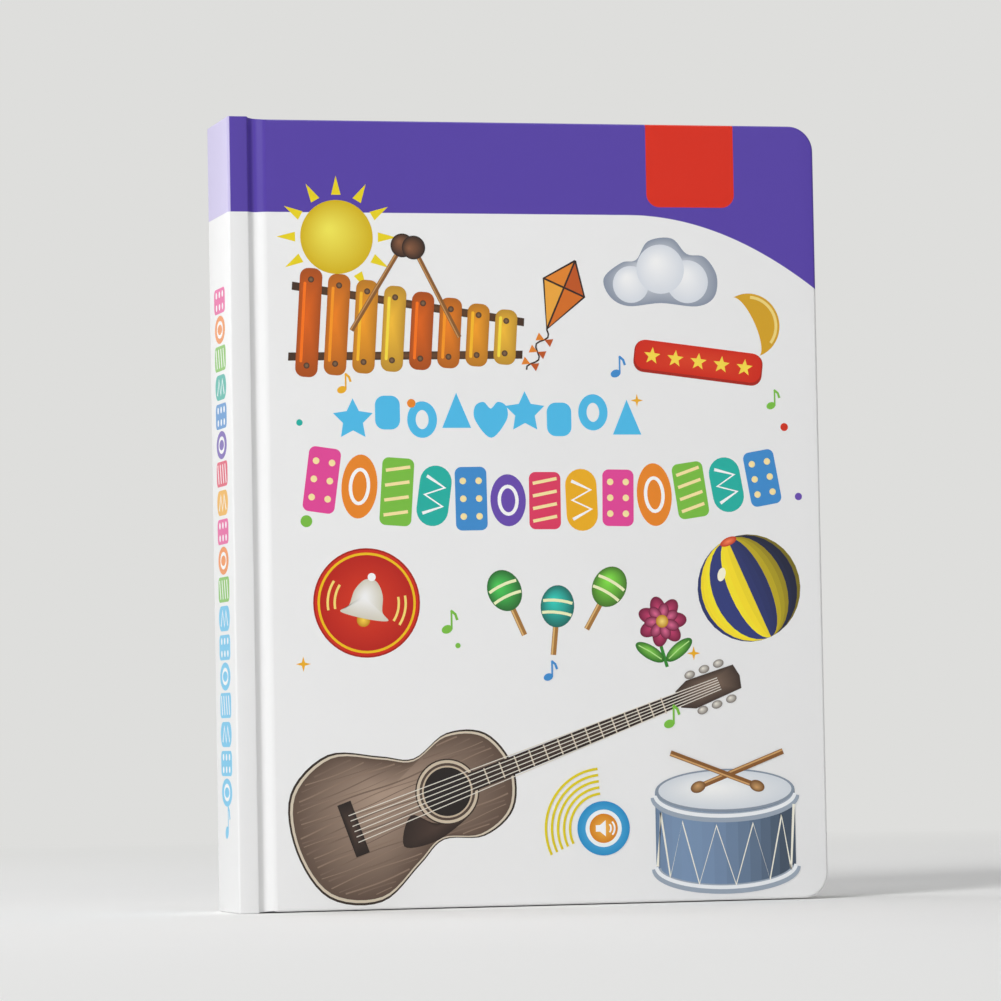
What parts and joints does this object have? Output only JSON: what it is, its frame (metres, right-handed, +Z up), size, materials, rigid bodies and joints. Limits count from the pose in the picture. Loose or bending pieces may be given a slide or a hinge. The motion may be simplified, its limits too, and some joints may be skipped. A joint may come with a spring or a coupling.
{
  "type": "sound book",
  "caption": "Children's hardback sound book: hinged covers on a block of stiff board pages, with a battery sound module set into the thick last page.",
  "frame": {"origin": "middle of the closed book's footprint, on the surface that it stands on", "axes": "+Z up along the spine, -Y out of the front cover, -X out of the spine"},
  "size_m": [0.224, 0.038, 0.29],
  "materials": {
    "cover_laminate": "gloss laminated print",
    "purple_print": "gloss laminated print",
    "red_print": "gloss laminated print",
    "endpaper": "matt coated",
    "page_board": "satin coated board",
    "lining_cloth": "open weave",
    "module_leaf": "matt",
    "white_plastic": "fine texture",
    "black_plastic": "matt",
    "screw_steel": "zinc plated",
    "battery_sleeve": "gloss sleeve",
    "contact_metal": "nickel plated",
    "speaker_steel": "zinc plated",
    "speaker_cone": "matt",
    "gasket_foam": "foam",
    "circuit_green": "solder mask",
    "ribbon_film": "film",
    "wire_red": "smooth",
    "wire_black": "smooth"
  },
  "bodies": {
    "book": {"spine_cover": "cover_laminate", "spine_print_band": "purple_print", "page_block": "page_board", "spine_lining": "lining_cloth", "module_frame": "module_leaf", "module_housing": "white_plastic", "module_lid": "white_plastic", "battery_door": "white_plastic", "battery_door_screw": "screw_steel", "lid_screw_1": "screw_steel", "lid_screw_2": "screw_steel", "lid_screw_3": "screw_steel", "lid_screw_4": "screw_steel", "circuit_screw_1": "screw_steel", "circuit_screw_2": "screw_steel", "battery_cell_1": "battery_sleeve", "battery_cell_2": "battery_sleeve", "battery_cell_3": "battery_sleeve", "battery_spring_1": "contact_metal", "battery_spring_2": "contact_metal", "battery_spring_3": "contact_metal", "contact_positive": "contact_metal", "contact_bridge_1": "contact_metal", "contact_bridge_2": "contact_metal", "contact_negative": "contact_metal", "speaker_basket": "speaker_steel", "speaker_magnet": "speaker_steel", "speaker_cone": "speaker_cone", "speaker_gasket": "gasket_foam", "circuit_board": "circuit_green", "sound_chip": "black_plastic", "capacitor": "contact_metal", "ribbon_connector": "white_plastic", "switch_body": "contact_metal", "page_ribbon": "ribbon_film", "speaker_wire_red": "wire_red", "speaker_wire_black": "wire_black", "battery_wire_red": "wire_red", "battery_wire_black": "wire_black"},
    "front": {"front_cover": "cover_laminate", "front_endpaper": "endpaper", "front_print_band": "purple_print", "front_print_tab": "red_print"},
    "back": {"back_cover": "cover_laminate", "back_endpaper": "endpaper", "back_print_band": "purple_print"},
    "switch": {"switch_knob": "black_plastic"}
  },
  "joints": [
    {"name": "front_cover_hinge", "type": "hinge", "parent": "book", "child": "front", "pos_m": [-0.10125, -0.01885, 0.145], "axis": [0, 0, -1], "range_deg": [0, 175]},
    {"name": "back_cover_hinge", "type": "hinge", "parent": "book", "child": "back", "pos_m": [-0.10125, 0.01885, 0.145], "axis": [0, 0, 1], "range_deg": [0, 175]},
    {"name": "power_switch", "type": "slide", "parent": "book", "child": "switch", "axis": [1, 0, 0], "range_m": [0, 0.003]}
  ]
}
